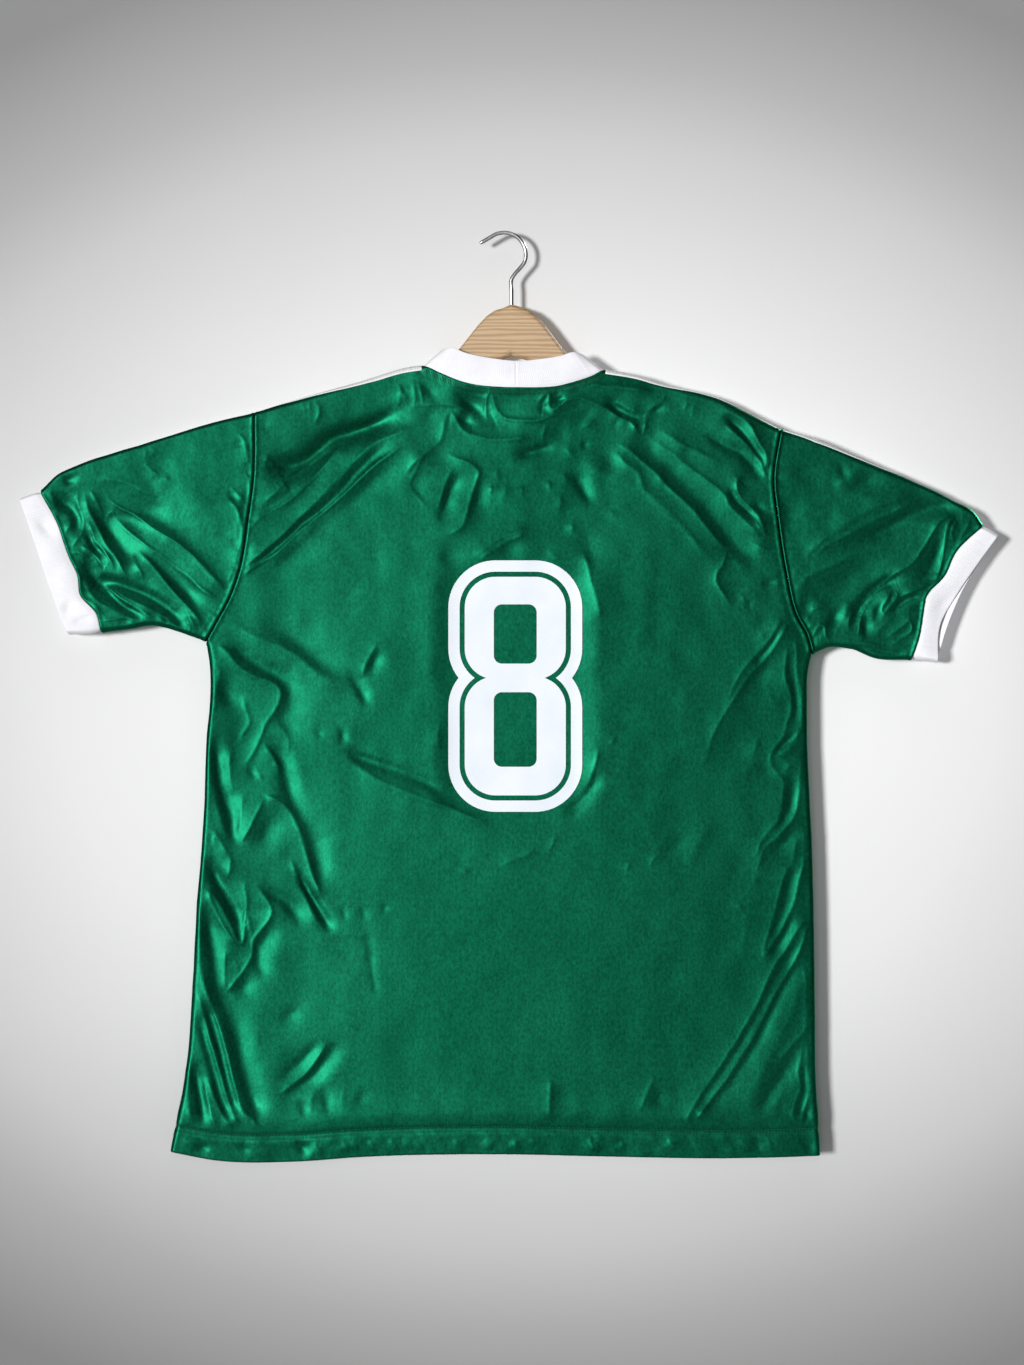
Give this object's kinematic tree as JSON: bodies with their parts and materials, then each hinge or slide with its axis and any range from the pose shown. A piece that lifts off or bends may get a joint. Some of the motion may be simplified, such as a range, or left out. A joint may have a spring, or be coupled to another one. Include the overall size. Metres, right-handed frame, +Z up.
{
  "type": "football jersey on a wooden hanger",
  "caption": "Short-sleeved green football jersey with white rib collar and cuffs, shoulder stripes and a block figure on its back, hung flat on a wooden hanger with a wire hook.",
  "frame": {"origin": "top inside of the hanger's hook, where the hook bears on a rail", "axes": "+Z up, +X to the right as one looks at the jersey's back, -Y out of the jersey's back"},
  "size_m": [0.96, 0.0347, 0.9142],
  "materials": {
    "green_cloth": "satin",
    "white_rib": "matt",
    "white_tape": "matt",
    "white_print": "matt",
    "pale_wood": "satin",
    "steel_wire": "polished"
  },
  "bodies": {
    "root": {"back": "green_cloth", "front": "green_cloth", "left_sleeve": "green_cloth", "right_sleeve": "green_cloth", "collar": "white_rib", "left_cuff": "white_rib", "right_cuff": "white_rib", "left_stripe": "white_tape", "right_stripe": "white_tape", "figure": "white_print", "figure_keyline": "white_print", "hanger_wood": "pale_wood", "hanger_hook": "steel_wire"}
  },
  "joints": []
}
